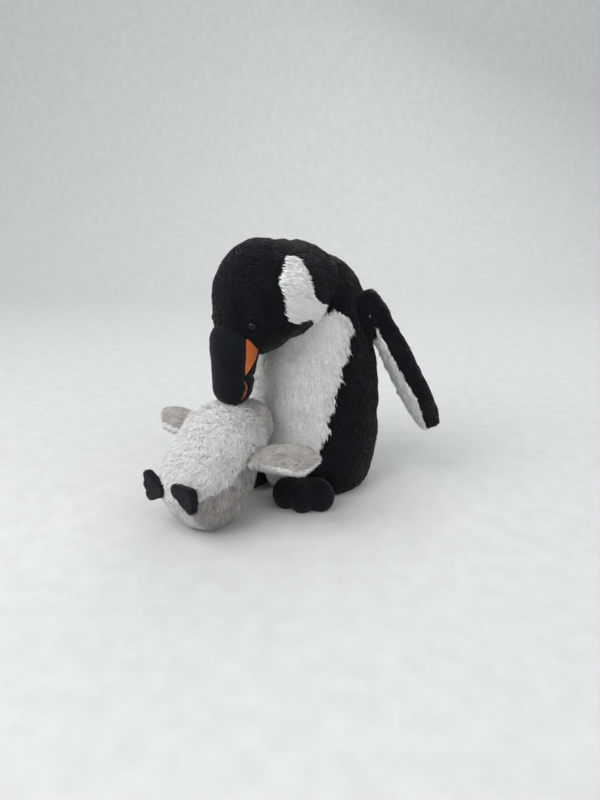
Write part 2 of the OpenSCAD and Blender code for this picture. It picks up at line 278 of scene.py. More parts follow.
def pile(name, points, faces, body, slot, count, length, radius, comb, seed, flat=0.5, wander=0.3,
         clump=0.5, clump_size=(5, 14), weight=0.15, spread=0.35, bodies=None, keep=None):
    """Closed three-sided tufts rooted on a surface.

    comb(p, n) is the way they lie and flat how far they lie over. wander is how much single tufts stray,
    and clump how much neighbours stray together.
    """
    r = np.random.default_rng(seed)
    a, b, c = (points[faces[:, i]] for i in range(3))
    area = np.linalg.norm(np.cross(b - a, c - a), axis=1) / 2
    pick = r.choice(len(faces), count, p=area / area.sum())
    u, v = r.random(count), r.random(count)
    over = u + v > 1
    u[over], v[over] = 1 - u[over], 1 - v[over]
    w = 1 - u - v
    p = a[pick] * w[:, None] + b[pick] * u[:, None] + c[pick] * v[:, None]
    pn = point_normals(points, faces)
    n = unit(sum(pn[faces[pick, i]] * k[:, None] for i, k in enumerate((w, u, v))))
    if keep is not None:
        ok = keep(p)
        p, n = p[ok], n[ok]
    m = len(p)
    lay = comb(p, n)
    lay = lay - n * (lay * n).sum(axis=1)[:, None]
    lay = unit(lay)
    drift = waves(seed + 7, *clump_size)(p)
    base_dir = unit(n + lay * flat + drift * clump * 0.7 + r.normal(size=(m, 3)) * wander * 0.6)
    tip_dir = unit(n * 0.45 + lay * flat * 1.5 + drift * clump * 1.4 + r.normal(size=(m, 3)) * wander
                   + np.array([0, 0, -weight]))
    low = (tip_dir * n).sum(axis=1)
    tip_dir = unit(tip_dir + n * np.clip(0.12 - low, 0, None)[:, None])
    size = (length(p) if callable(length) else np.full(m, float(length)))
    size = size * (1 + spread * (r.random(m) * 2 - 1))
    size = size * (1 + 0.25 * np.tanh(waves(seed + 9, 9, 24)(p)[:, 0]))
    thick = radius * (0.75 + 0.5 * r.random(m))
    root = p - n * 0.5
    mid = root + base_dir * (size * 0.5)[:, None]
    top = mid + tip_dir * (size * 0.55)[:, None]
    side = unit(np.cross(base_dir, unit(r.normal(size=(m, 3)))))
    other = np.cross(base_dir, side)
    rings = []
    for at, k in ((root, 1.0), (mid, 0.8)):
        for j in range(3):
            g = 2 * math.pi * j / 3
            rings.append(at + (side * math.cos(g) + other * math.sin(g)) * (thick * k)[:, None])
    pts = np.stack(rings + [top], axis=1).reshape(-1, 3)
    pts[:, 2] = np.maximum(pts[:, 2], FLOOR_GAP)
    tri = (FACES[None] + 7 * np.arange(m, dtype=np.int32)[:, None, None]).reshape(-1, 3)
    # tip values: 0 at the root, .62 in the middle, 1 at the tip; they set how much painted shade the root
    # colour puts on each tuft
    obj = build(name, pts, tri, slot, None, np.tile([0, 0, 0, .62, .62, .62, 1.0], m))
    soft_n = unit(n[:, None, :] + 0.35 * unit(r.normal(size=(m, 3)))[:, None, :] + np.zeros((1, 7, 1)))
    obj.data.normals_split_custom_set_from_vertices(soft_n.reshape(-1, 3).tolist())
    grid = int(math.ceil(math.sqrt(m)))
    cell = np.stack([np.arange(m) % grid, np.arange(m) // grid], axis=1) / grid
    uv = cell[:, None, :] + cell_corners()[None] / grid
    obj.data.uv_layers.new(name="OFBake").data.foreach_set("uv", uv.astype(np.float32).ravel())
    if bodies:
        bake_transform(obj)
    else:
        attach(obj, body)
    return obj


def panel(name, points, faces, keep, body, slot, replaces, thick=1.4):
    """One fabric panel of a stuffed form, cut from its surface, with the fabric's thickness."""
    v, f = trimmed(points, faces, keep)
    obj = build(name, v, f, slot, body)
    skin = obj.modifiers.new("cloth", "SOLIDIFY")
    skin.thickness = thick * MM
    skin.offset = -1
    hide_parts(*replaces)
    return v, f


# thickness and height of a stitch at its five rings, and points in a ring
TAPER, SINK, ROUND = (0.35, 0.9, 1, 0.9, 0.35), (-0.25, 0.02, 0.1, 0.02, -0.25), 8


def stitches(name, path, body, slot, long=2.2, gap=1.5, thick=0.28, lift=0.12):
    """Short thread stitches along a path of points with their outward directions."""
    pts = np.array([q[0] for q in path], float)
    out = unit(np.array([q[1] for q in path], float))
    step = np.linalg.norm(np.diff(pts, axis=0), axis=1)
    run = np.concatenate([[0], np.cumsum(step)])
    starts = np.arange(0.4, run[-1] - long, long + gap)
    vs, fs = [], []
    for k, s in enumerate(starts):
        ts = s + np.linspace(0, long, len(TAPER))
        mid = np.stack([np.interp(ts, run, pts[:, i]) for i in range(3)], axis=1)
        up = unit(np.stack([np.interp(ts, run, out[:, i]) for i in range(3)], axis=1))
        dirn = unit(np.gradient(mid, axis=0))
        across = unit(np.cross(dirn, up))
        for i in range(len(TAPER)):
            taper, sink = TAPER[i] * thick, SINK[i] + lift
            for j in range(ROUND):
                g = 2 * math.pi * j / ROUND
                vs.append(mid[i] + up[i] * (sink + taper * math.sin(g)) + across[i] * taper * math.cos(g))
        base = k * len(TAPER) * ROUND
        last = base + (len(TAPER) - 1) * ROUND
        for i in range(len(TAPER) - 1):
            for j in range(ROUND):
                a0, a1 = base + i * ROUND + j, base + i * ROUND + (j + 1) % ROUND
                fs.append([a0, a1, a1 + ROUND])
                fs.append([a0, a1 + ROUND, a0 + ROUND])
        for j in range(1, ROUND - 1):
            fs.append([base, base + j + 1, base + j])
            fs.append([last, last + j, last + j + 1])
    return build(name, np.array(vs), np.array(fs), slot, body)


def in_outline(y, z, outline):
    """Which points lie inside a closed outline of (y, z) corners."""
    inside = np.zeros(len(y), bool)
    for (y0, z0), (y1, z1) in zip(outline, outline[1:] + outline[:1]):
        cross = (z0 > z) != (z1 > z)
        inside ^= cross & (y < (y1 - y0) * (z - z0) / (z1 - z0 + 1e-12) + y0)
    return inside


# ---------------------------------------------------------------- adult body
BASE_R, BELLY_R, BELLY_Z, SHOULDER_R, SHOULDER_Z = 40.0, 55.0, 58.0, 39.5, 159.0
JOIN = math.radians(15)     # where the sides meet the round top, up from the shoulders' middle
JOIN_R, JOIN_Z = SHOULDER_R * math.cos(JOIN), SHOULDER_Z + SHOULDER_R * math.sin(JOIN)
DISC_R = 38.5               # the base disc


def body_radius(z):
    low = BASE_R + (BELLY_R - BASE_R) * np.sin(np.arccos(np.clip(1 - z / BELLY_Z, -1, 1)))
    rise = np.clip((z - BELLY_Z) / (JOIN_Z - BELLY_Z), 0, 1)
    high = JOIN_R + (BELLY_R - JOIN_R) * np.cos(rise * math.pi / 2)
    cap = np.sqrt(np.clip(SHOULDER_R ** 2 - (z - SHOULDER_Z) ** 2, 0, None))
    return np.where(z < BELLY_Z, low, np.where(z < JOIN_Z, high, cap))


def body_inside(p):
    """Below 0 inside the body. This holds for every function of this kind."""
    around = np.hypot(p[:, 0], p[:, 1]) - body_radius(p[:, 2])
    top = np.linalg.norm(p - np.array([0, 0, SHOULDER_Z]), axis=1) - SHOULDER_R
    return np.maximum(np.where(p[:, 2] > JOIN_Z, top, around), -p[:, 2])


BIB_Z = [3, 16, 24, 40, 58, 86, 110, 130, 146, 156, 162, 165]
BIB_TURN = [26, 31, 35, 43, 53, 60, 67, 78, 85, 82, 66, 0]


def bib_turn(p):
    """How far round from the front a point is, less where the bib ends, in degrees."""
    turn = np.degrees(np.abs(np.arctan2(p[:, 0], -p[:, 1])))
    wavy = 1.6 * np.sin(p[:, 2] * 0.31) + 1.0 * np.sin(p[:, 2] * 0.83 + 1)
    return turn - np.interp(p[:, 2], BIB_Z, BIB_TURN) - wavy * (p[:, 2] < 154)


body_v, body_f = star(np.array([0, 0, 85.0]), body_inside, 7)
lumps = waves(3, 22, 60)
body_n = point_normals(body_v, body_f)
soft = np.clip((body_v[:, 2] - 2) / 14, 0, 1) * np.clip((176 - body_v[:, 2]) / 20, 0, 1)
body_v = body_v + body_n * (lumps(body_v)[:, :1] * 0.7 * soft[:, None])
crease = np.exp(-(bib_turn(body_v) * 0.9 / 2.0) ** 2) * (body_v[:, 2] < 160)
body_v -= body_n * (crease * soft * 0.9)[:, None]
mid = centres(body_v, body_f)
turn_past = bib_turn(mid)
under = (mid[:, 2] < 0.35) & (np.hypot(mid[:, 0], mid[:, 1]) < DISC_R)
is_bib = (turn_past < 0) & (mid[:, 2] < BIB_Z[-1]) & ~under
is_back = ~is_bib & ~under

back_v, back_f = panel("body_back_cloth", body_v, body_f, is_back, "torso", "black_plush", ["body_back"])
bib_v, bib_f = panel("belly_panel_cloth", body_v, body_f, is_bib, "torso", "white_plush", ["belly_panel"])
panel("base_panel_cloth", body_v, body_f, under, "torso", "black_felt", ["base_panel"], thick=1.2)
SEAM_R = DISC_R + 0.1
ring = [((SEAM_R * math.cos(a), SEAM_R * math.sin(a), 0.1), (0, 0, -1))
        for a in np.linspace(0, 2 * math.pi, 160)]
stitches("base_seam", ring, "torso", "thread", lift=-0.3)


# ---------------------------------------------------------------- adult head
NECK, HEAD, FACE = (np.array(q, float) for q in ((0, -24, 176), (0, -55, 175), (0, -70, 157)))
NECK_R, HEAD_R, FACE_R = 35.0, 40.0, 28.0
ROOT, TIP = np.array([0, -86.0, 141]), np.array([0, -90.0, 107])
ROOT_R, TIP_R, MOUTH_Y = 18.5, 15.0, -92.0
EYES = np.array([[21.8, -87.7, 157], [-21.8, -87.7, 157]])


def pod(p, a, b, ra, rb):
    """A round form that tapers from one ball to another."""
    d = b - a
    h = np.clip(((p - a) @ d) / (d @ d), 0, 1)
    return np.linalg.norm(p - a - h[:, None] * d, axis=1) - (ra + (rb - ra) * h)


def melt(a, b, k):
    """The union of two forms, blended over a width of k."""
    h = np.clip(0.5 + 0.5 * (b - a) / k, 0, 1)
    return b + (a - b) * h - k * h * (1 - h)


def head_inside(p):
    return melt(pod(p, NECK, HEAD, NECK_R, HEAD_R), np.linalg.norm(p - FACE, axis=1) - FACE_R, 7.0)


head_v, head_f = star(np.array([0, -50.0, 172]), head_inside, 7)
head_n = point_normals(head_v, head_f)
head_v += head_n * (waves(5, 18, 50)(head_v)[:, :1] * 0.5)
# the outline of the cheek patch from the side, in y and z
EAR = [(-53, 204), (-59, 205), (-67, 199), (-73, 188), (-72, 178), (-71, 168), (-66, 160), (-58, 157),
       (-48, 159), (-38, 155), (-28, 147), (-16, 137), (-9, 145), (-9, 158), (-20, 165), (-33, 169),
       (-41, 175), (-45, 186), (-48, 196)]
mid = centres(head_v, head_f)
free = body_inside(mid) > 0.2
clear_beak = pod(mid, ROOT, TIP, ROOT_R - 2, TIP_R) > 0
in_ear = in_outline(mid[:, 1], mid[:, 2], EAR)
ears = {"left": in_ear & (mid[:, 0] > 12) & free, "right": in_ear & (mid[:, 0] < -12) & free}
is_head = free & ~ears["left"] & ~ears["right"] & clear_beak
hv, hf = panel("head_cloth", head_v, head_f, is_head, "head", "black_plush", ["head_skin"])
ear_mesh = {}
for side, _ in SIDES:
    ear_mesh[side] = panel("ear_patch_%s_cloth" % side, head_v, head_f, ears[side], "head", "white_plush",
                           ["ear_patch_" + side])


# ---------------------------------------------------------------- beak
def beak_point(t, turn, out=0.0):
    """t runs down the beak from its root to its tip, turn goes round from the front in radians."""
    length = TIP - ROOT
    run = np.linalg.norm(length)
    axis = length / run
    front = unit(np.array([0, -1.0, 0]) - axis * (-axis[1]))
    left = np.array([1.0, 0, 0])
    cap = np.clip((t - 1) * run / TIP_R, 0, 1)
    body = np.clip(t, 0, 1)
    r = ROOT_R + (TIP_R - ROOT_R) * body
    r = r + 0.8 * np.exp(-((body - 0.18) / 0.2) ** 2)
    lean = cap * math.pi / 2
    up = np.clip(-t * run / ROOT_R, 0, 1) * math.pi / 2
    r_here = (r + out) * np.cos(lean) * np.cos(up)
    down = np.sin(lean) * (TIP_R + out) - np.sin(up) * (ROOT_R + out)
    at = ROOT[None] + axis[None] * (body * run + down)[:, None]
    around = front[None] * np.cos(turn)[:, None] + left[None] * np.sin(turn)[:, None]
    return at + around * r_here[:, None], around


T_START = -ROOT_R / np.linalg.norm(TIP - ROOT)
T_END = 1 + TIP_R / np.linalg.norm(TIP - ROOT)
BORDER = 0.06       # the black edge between the mouth line and the orange patch, in radians


def mouth_turn(t):
    """Where the mouth line is, round from the front. It curls forward at the tip."""
    y = ROOT[1] + (TIP[1] - ROOT[1]) * np.clip(t, 0, 1)
    r = ROOT_R + (TIP_R - ROOT_R) * np.clip(t, 0, 1)
    base = np.arccos(np.clip((y - MOUTH_Y) / r, -1, 1))
    return base + 0.10 * np.exp(-((t - 0.95) / 0.12) ** 2)


def stripe_turn(t):
    """The rear edge of the orange patch, as an angle past the mouth line."""
    main = 0.74 * np.clip(np.sin(math.pi * np.clip((t + 0.52) / 1.21, 0, 1)), 0, 1) ** 0.8
    sliver = 0.14 * np.clip(np.sin(math.pi * np.clip((t - 0.76) / 0.46, 0, 1)), 0, 1) ** 0.5
    return np.maximum(main * (t < 0.7), sliver) + 1e-3


def patch_rear(t):
    return mouth_turn(t) + BORDER + stripe_turn(t)


def down_back(p, n):
    return np.stack([p[:, 0] * 0.004, p[:, 1] * 0.004, -np.ones(len(p))], axis=1)


def nap(name, points, faces, body, slot, count):
    """The short nap of felt, brushed down."""
    pile(name, points, faces, body, slot, count, 1.5, 0.26, down_back, count, flat=1.3, wander=0.5, clump=0.1)


def beak_strip(name, lo, hi, rows, cols, slot, replaces, bulge):
    """A strip of the beak between two angles that both change down its length."""
    ts = np.linspace(T_START, T_END, rows)
    pts = []
    for t in ts:
        a, b = lo(t), hi(t)
        s = np.linspace(0, 1, cols)
        turn = a + (b - a) * s
        q, _ = beak_point(np.full(cols, t), turn, bulge(t, np.minimum(turn - a, b - turn)))
        pts.append(q)
    pts = np.concatenate(pts)
    quad = []
    for i in range(rows - 1):
        for j in range(cols - 1):
            a = i * cols + j
            quad.append([a, a + 1, a + cols + 1, a + cols])
    quad = np.array(quad)
    mid = centres(pts, quad)
    keep = head_inside(mid) > -1.5
    v, f = trimmed(pts, quad, keep)
    way = np.cross(v[f[:, 1]] - v[f[:, 0]], v[f[:, 2]] - v[f[:, 0]])
    if (way * (centres(v, f) * [1, 1, 0] - [0, ROOT[1], 0])).sum() < 0:
        f = f[:, ::-1].copy()
    obj = build(name, v, f, slot, "head")
    skin = obj.modifiers.new("cloth", "SOLIDIFY")
    skin.thickness = 1.3 * MM
    skin.offset = -1
    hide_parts(*replaces)
    nap(name + "_nap", v, np.concatenate([f[:, :3], f[:, [0, 2, 3]]]), "head", slot, 10 * rows + 30 * cols)


def pinch(t):
    """The dent where the lower beak's tip begins."""
    return 1.2 * math.exp(-((t - 0.73) / 0.06) ** 2)


def upper_puff(t, edge):
    return 0.7 - 1.5 * np.exp(-(edge / 0.07) ** 2)


def lower_puff(t, edge):
    return -0.2 - 1.0 * np.exp(-(edge / 0.07) ** 2) - pinch(t)


def patch_puff(t, edge):
    return -0.1 - 1.1 * np.exp(-(edge / 0.09) ** 2) - pinch(t)


BEAK_ROWS, SEAM_COLS = 130, 7
beak_strip("beak_upper_cloth", lambda t: -mouth_turn(t), mouth_turn, BEAK_ROWS, 150, "black_felt",
           ["beak_upper"], upper_puff)
beak_strip("beak_lower_cloth", patch_rear, lambda t: 2 * math.pi - mouth_turn(t) - BORDER - stripe_turn(t),
           BEAK_ROWS, 140, "black_felt", ["beak_lower"], lower_puff)
beak_strip("beak_stripe_left_cloth", lambda t: mouth_turn(t) + BORDER, lambda t: patch_rear(t) + 1e-4,
           BEAK_ROWS, 44, "orange_felt", ["beak_stripe_left"], patch_puff)
beak_strip("beak_stripe_right_cloth", lambda t: -patch_rear(t) - 1e-4, lambda t: -mouth_turn(t) - BORDER,
           BEAK_ROWS, 44, "orange_felt", ["beak_stripe_right"], patch_puff)
for side, sign in SIDES:
    pts, quad = [], []
    for t in np.linspace(-0.5, T_END, BEAK_ROWS):
        turn = sign * (mouth_turn(t) + np.linspace(-0.02, BORDER + 0.03, SEAM_COLS))
        pts.append(beak_point(np.full(SEAM_COLS, t), turn, np.full(SEAM_COLS, -0.75))[0])
    for i in range(BEAK_ROWS - 1):
        for j in range(SEAM_COLS - 1):
            a = i * SEAM_COLS + j
            cell = [a, a + 1, a + SEAM_COLS + 1, a + SEAM_COLS]
            quad.append(cell if sign > 0 else cell[::-1])
    pts, quad = np.concatenate(pts), np.array(quad)
    v, f = trimmed(pts, quad, head_inside(centres(pts, quad)) > -1.5)
    build("mouth_seam_" + side, v, f, "black_felt", "head")
    line = []
    for t in np.linspace(-0.45, T_END - 0.02, 80):
        q, o = beak_point(np.array([t]), np.array([sign * (mouth_turn(t) + 0.03)]), np.array([-0.6]))
        if head_inside(q)[0] > 0.5:
            line.append((q[0], o[0]))
    stitches("mouth_stitches_" + side, line, "head", "thread", long=1.8, gap=1.3, thick=0.22)


# ---------------------------------------------------------------- pile of the adult
def over_head(p, n):
    return np.stack([np.sign(p[:, 0]) * 0.15, np.ones(len(p)) * 0.9, -0.35 - 0.01 * (p[:, 2] - 170)], axis=1)


def back_length(p):
    crook = np.exp(-(np.clip(head_inside(p), 0, None) / 6.0) ** 2)
    return 4.0 + 3.0 * crook


def clear_of_head(p):
    return (head_inside(p) > 0.3) & (p[:, 2] > 1.5)


SLEEK = {"flat": 1.8, "wander": 0.1, "clump": 0.12}
LONG_WHITE = {"wander": 0.22, "clump": 0.3, "clump_size": (4, 10)}
for side, sign in SIDES:
    mid = centres(back_v, back_f)
    for level, low, high in (("low", -9, 84), ("high", 84, 999)):
        part = (mid[:, 0] * sign > 0) & (mid[:, 2] >= low) & (mid[:, 2] < high)
        pile("body_back_pile_%s_%s" % (level, side), back_v, back_f[part], "torso", "black_plush", 13800,
             back_length, 0.52, down_back, 11 + sign + low, flat=1.9, wander=0.1, clump=0.12,
             keep=clear_of_head)
    mid = centres(bib_v, bib_f)
    pile("belly_pile_" + side, bib_v, bib_f[mid[:, 0] * sign > 0], "torso", "white_plush", 16500,
         lambda p: 3.4 + 1.8 * np.clip(1 + bib_turn(p) / 12, 0, 1), 0.3, down_back, 21 + sign, flat=1.2,
         wander=0.42, clump=0.16, clump_size=(4, 11), keep=clear_of_head)


def eye_distance(p):
    return np.linalg.norm(p[:, None] - EYES[None], axis=2).min(axis=1)


def head_length(p):
    near_eye = np.clip((eye_distance(p) - 3) / 8.0, 0, 1)
    rim = np.exp(-(np.clip(body_inside(p), 0, None) / 7.0) ** 2)
    return 4.0 * (0.6 + 0.4 * near_eye) + 2.6 * rim


def off_the_eye(p):
    return (eye_distance(p) > 3.5) & (pod(p, ROOT, TIP, ROOT_R, TIP_R) > 0.5)


for side, sign in SIDES:
    pile("head_pile_" + side, hv, hf[centres(hv, hf)[:, 0] * sign > 0], "head", "black_plush", 13500,
         head_length, 0.5, over_head, 31 + sign, keep=off_the_eye, **SLEEK)
    v, f = ear_mesh[side]
    pile("ear_pile_" + side, v, f, "head", "white_plush", 5400, 4.8, 0.42, over_head, 36 + sign, flat=1.3,
         **LONG_WHITE)


# ---------------------------------------------------------------- wings
def turned(ax, ay, az):
    """The matrix that turns by these degrees about x, then y, then z."""
    x, y, z = (math.radians(q) for q in (ax, ay, az))
    rx = np.array([[1, 0, 0], [0, math.cos(x), -math.sin(x)], [0, math.sin(x), math.cos(x)]])
    ry = np.array([[math.cos(y), 0, math.sin(y)], [0, 1, 0], [-math.sin(y), 0, math.cos(y)]])
    rz = np.array([[math.cos(z), -math.sin(z), 0], [math.sin(z), math.cos(z), 0], [0, 0, 1]])
    return rz @ ry @ rx


def paddle_half(t, l, w, cap):
    """Half width of a wing at distance t from its root."""
    s = np.linspace(0, 1, 200)
    spots, rads = [], []
    stops = [(0, cap), (0.62 * l, w / 2), (l - 0.22 * w, 0.22 * w)]
    for (c0, r0), (c1, r1) in zip(stops, stops[1:]):
        spots.append(c0 + (c1 - c0) * s)
        rads.append(r0 + (r1 - r0) * s)
    spots, rads = np.concatenate(spots), np.concatenate(rads)
    return np.sqrt(np.clip(rads ** 2 - (np.atleast_1d(t)[:, None] - spots) ** 2, 0, None)).max(axis=1)


def paddle(l, w, cap, front, back, place, rows=70, cols=34, grow=0.0, square=2.6):
    """Both faces of a stuffed wing, as points and triangles of the front and of the back.

    front and back are how far the faces stand out, and a larger square gives them fuller edges.
    """
    ts = -cap + (l + cap) * (1 - np.cos(np.linspace(0, math.pi, rows))) / 2
    half = paddle_half(ts, l, w, cap)
    smoothed = half.copy()
    for _ in range(6):
        smoothed[1:-1] = (smoothed[:-2] + 2 * smoothed[1:-1] + smoothed[2:]) / 4
    half = np.where((ts > 0.1 * l) & (ts < 0.93 * l), smoothed, half) + grow * np.clip(half / 6, 0, 1)
    s = np.sin(np.linspace(-math.pi / 2, math.pi / 2, cols))
    out = []
    for high, up in ((front, 1), (back, -1)):
        pts = []
        for t, h in zip(ts, half):
            dome = np.sqrt(np.clip(1 - np.abs(s) ** square, 0, 1)) * high * min(1, h / (0.36 * w)) ** 0.5
            bow = 1.8 * (t / l) ** 2
            pts.append(np.stack([s * h, up * dome + bow, np.full(cols, -t)], axis=1))
        pts = np.concatenate(pts)
        tri = []
        for i in range(rows - 1):
            for j in range(cols - 1):
                a = i * cols + j
                q = [a, a + 1, a + cols + 1, a + cols] if up < 0 else [a, a + cols, a + cols + 1, a + 1]
                tri += [[q[0], q[1], q[2]], [q[0], q[2], q[3]]]
        out.append((place(pts), np.array(tri, np.int32)))
    return out


# length, width, and radius of the round root
WING_SIZE, CHICK_WING_SIZE = (109.0, 42.0, 8.0), (46.0, 26.0, 6.0)
WING_AT, WING_SPIN = np.array([48.4, 23, 152]), turned(21, -17, 0) @ turned(0, 0, -34)
CHICK_WING_AT = np.array([35.5, -98, 59])
CHICK_WING_TURN = {"left": (28, 3, 50), "right": (10, -8, -6)}
SLEEVE_AT, SLEEVE_PAST = np.array([29.0, 14.0, 165]), 8.0


def flip(v, f, sign):
    """The same form, or its mirror image for the right side."""
    return (v * [sign, 1, 1], f if sign > 0 else f[:, ::-1].copy())


def brushed(way, part):
    """Tufts that lie along one way and part from the middle of their piece."""
    return lambda p, n: np.tile(way, (len(p), 1)) + part * unit(p - p.mean(axis=0))


def face_out(v, f, way):
    """The faces turned so that together they look one way."""
    n = np.cross(v[f[:, 1]] - v[f[:, 0]], v[f[:, 2]] - v[f[:, 0]]).sum(axis=0)
    return f if n @ way > 0 else f[:, ::-1].copy()


for side, sign in SIDES:
    body = "wing_" + side
    halves = paddle(*WING_SIZE, 9.6, 9.0, lambda q: WING_AT + q @ WING_SPIN.T, grow=1.8, square=4.0)
    outward = (WING_SPIN @ np.array([0, 1.0, 0])) * [sign, 1, 1]
    along = (WING_SPIN @ np.array([0, 0, -1.0])) * [sign, 1, 1]
    (ov, of), (lv, lf) = (flip(v, f, sign) for v, f in halves)
    of, lf = face_out(ov, of, outward), face_out(lv, lf, -outward)
    spot = (centres(lv, lf) * [sign, 1, 1] - WING_AT) @ WING_SPIN
    fold = spot[:, 0] > 0.96 * paddle_half(-spot[:, 2], *WING_SIZE)
    ov, of = np.concatenate([ov, lv]), np.concatenate([of, lf[fold] + len(ov)])
    ov2, of2 = panel(body + "_outer_cloth", ov, of, np.ones(len(of), bool), body, "black_plush",
                     [body + "_outer"])
    lv2, lf2 = panel(body + "_lining_cloth", lv, lf, ~fold, body, "white_plush", [body + "_lining"])
    comb = brushed(along, 0.25)
    pile(body + "_outer_pile", ov2, of2, body, "black_plush", 9800, 4.0, 0.5, comb, 41 + sign, **SLEEK)
    pile(body + "_lining_pile", lv2, lf2, body, "white_plush", 7000, 4.6, 0.42, comb, 45 + sign, flat=1.4,
         **LONG_WHITE)
    # the sleeve runs from inside the shoulder to a little past the wing's hinge
    start, stop = SLEEVE_AT * [sign, 1, 1], WING_AT * [sign, 1, 1]
    away = unit(stop - start)
    up = unit(np.array([0, 0, 1.0]) - away * away[2])
    across = np.cross(away, up)
    rings, seg, steps = [], 28, 26
    for k in np.linspace(0, 1, steps):
        centre = start + (stop + away * SLEEVE_PAST + np.array([0, 0, -SLEEVE_PAST]) - start) * k
        first, last = max(0.0, 1 - k / 0.4), max(0.0, (k - 0.6) / 0.4)
        full = math.sqrt(max(0.0, 1 - first ** 2)) * math.sqrt(max(0.0, 1 - last ** 2))
        high, wide = (17.5 - 4.5 * k) * full + 0.2, (13.5 - 4.0 * k) * full + 0.2
        for g in np.linspace(0, 2 * math.pi, seg, endpoint=False):
            rings.append(centre + up * high * math.sin(g) + across * wide * math.cos(g))
    rings = np.array(rings)
    tri = []
    for i in range(steps - 1):
        for j in range(seg):
            a, b = i * seg + j, i * seg + (j + 1) % seg
            tri += [[a, b, b + seg], [a, b + seg, a + seg]]
    tri += [[(steps - 1) * seg, (steps - 1) * seg + j + 1, (steps - 1) * seg + j] for j in range(1, seg - 1)]
    tri = np.array(tri, np.int32)
    hub = (start + stop) / 2
    n = np.cross(rings[tri[:, 1]] - rings[tri[:, 0]], rings[tri[:, 2]] - rings[tri[:, 0]])
    if ((n * (centres(rings, tri) - hub)).sum(axis=1)).sum() < 0:
        tri = tri[:, ::-1].copy()
    sleeve = build(body + "_sleeve", rings, tri, "black_plush")
    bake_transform(sleeve)
    pile(body + "_sleeve_pile", rings, tri, None, "black_plush", 3600, 4.0, 0.5, down_back, 49 + sign,
         bodies=("torso", body, tuple(start * MM), tuple(stop * MM)), keep=lambda p: body_inside(p) > 0.5,
         **SLEEK)


# ---------------------------------------------------------------- adult feet
TOE_L, TOE_FAN, FOOT_Z, SOLE_Z = 24.4, 36, 11.2, 4.6
FOOT_AT, FOOT_SPIN, FOOT_HUB = [0, -41, 0], turned(0, 0, 36), np.array([0, -11.0, 0])


def edge_distance(inside, centre, way, far, steps):
    """How far the surface of a form is from a point inside it."""
    lo, hi = 0.0, far
    for _ in range(steps):
        m = (lo + hi) / 2
        lo, hi = (m, hi) if inside((centre + way * m)[None])[0] < 0 else (lo, m)
    return lo


def foot_inside(p):
    """Three round toes that fan out, in the foot's own frame."""
    q = p.copy()
    q[:, 2] = (q[:, 2] - FOOT_Z) * 11.0 / 13.6
    best = None
    for turn in (-TOE_FAN, 0, TOE_FAN):
        g = math.radians(turn)
        tip = np.array([TOE_L * math.sin(g), -TOE_L * math.cos(g), 0])
        d = pod(q, np.zeros(3), tip, 10.5, 11.2)
        best = d if best is None else melt(best, d, 3.0)
    return best


foot_v, foot_f = star(FOOT_HUB + [0, 0, FOOT_Z], foot_inside, 6, far=50)
creases = 0.15 * np.sin(foot_v[:, 0] * 0.9) * np.cos(foot_v[:, 1] * 0.8)
foot_v[:, 2] = np.maximum(foot_v[:, 2], 0.35 + creases)
groove = np.exp(-((foot_v[:, 2] - SOLE_Z) / 0.7) ** 2)
foot_n = point_normals(foot_v, foot_f)
foot_v -= foot_n * (groove * 0.55)[:, None]
for side, sign in SIDES:
    v = (foot_v + FOOT_AT) @ FOOT_SPIN.T * [sign, 1, 1]
    f = foot_f if sign > 0 else foot_f[:, ::-1].copy()
    mid = centres(v, f)
    away = body_inside(mid) > -1.0
    body = "foot_" + side
    uv, uf = panel(body + "_upper_cloth", v, f, away & (mid[:, 2] >= SOLE_Z), body, "black_felt",
                   [body + "_upper"])
    nap(body + "_nap", uv, uf, body, "black_felt", 5000)
    panel(body + "_sole_cloth", v, f, away & (mid[:, 2] < SOLE_Z), body, "black_felt", [body + "_sole"])
    line = []
    for g in np.radians(np.arange(-158, 158, 2.5)):
        d = np.array([math.sin(g), -math.cos(g), 0])
        hub = FOOT_HUB + [0, 0, SOLE_Z]
        reach = edge_distance(foot_inside, hub, d, 50.0, 24)
        q = (hub + d * (reach - 0.45) + FOOT_AT) @ FOOT_SPIN.T * [sign, 1, 1]
        if body_inside(q[None])[0] > 1.5:
            line.append((q, (d @ FOOT_SPIN.T) * [sign, 1, 1]))
    stitches(body + "_seam", line, body, "thread", long=1.9, gap=1.4, thick=0.24)


# ---------------------------------------------------------------- chick
SEAT, CHEST, CHICK_HEAD = (np.array(q, float) for q in ((0, -121, 31), (0, -100, 58), (0, -78, 72)))
SEAT_R, CHEST_R, CHICK_HEAD_R = 30.5, 28.5, 19.0
LEAN = math.atan2(27, 21)       # how steeply the chick's back slopes, from its seat to its chest
ALONG = np.array([0, math.cos(LEAN), math.sin(LEAN)])
OUTWARD = np.array([0, -math.sin(LEAN), math.cos(LEAN)])
SEAT_WAY, SEAT_PATCH_R = np.array([0, -0.79, -0.61]), 20
# half the belly's width in degrees, at places along the chick from its seat
BELLY_AT = [-25, -20, -12, -4, 5, 20, 35, 50, 62]
BELLY_TURN = [1, 24, 44, 56, 66, 78, 92, 112, 130]


def chick_inside(p):
    return pod(p, SEAT, CHEST, SEAT_R, CHEST_R)


def belly_shape(p):
    """Below 0 inside the chick's white belly, which is widest over its chest."""
    l, n = (p - SEAT) @ ALONG, (p - SEAT) @ OUTWARD
    turn = np.degrees(np.arctan2(np.abs(p[:, 0]), n))
    return turn / np.interp(l, BELLY_AT, BELLY_TURN) - 1


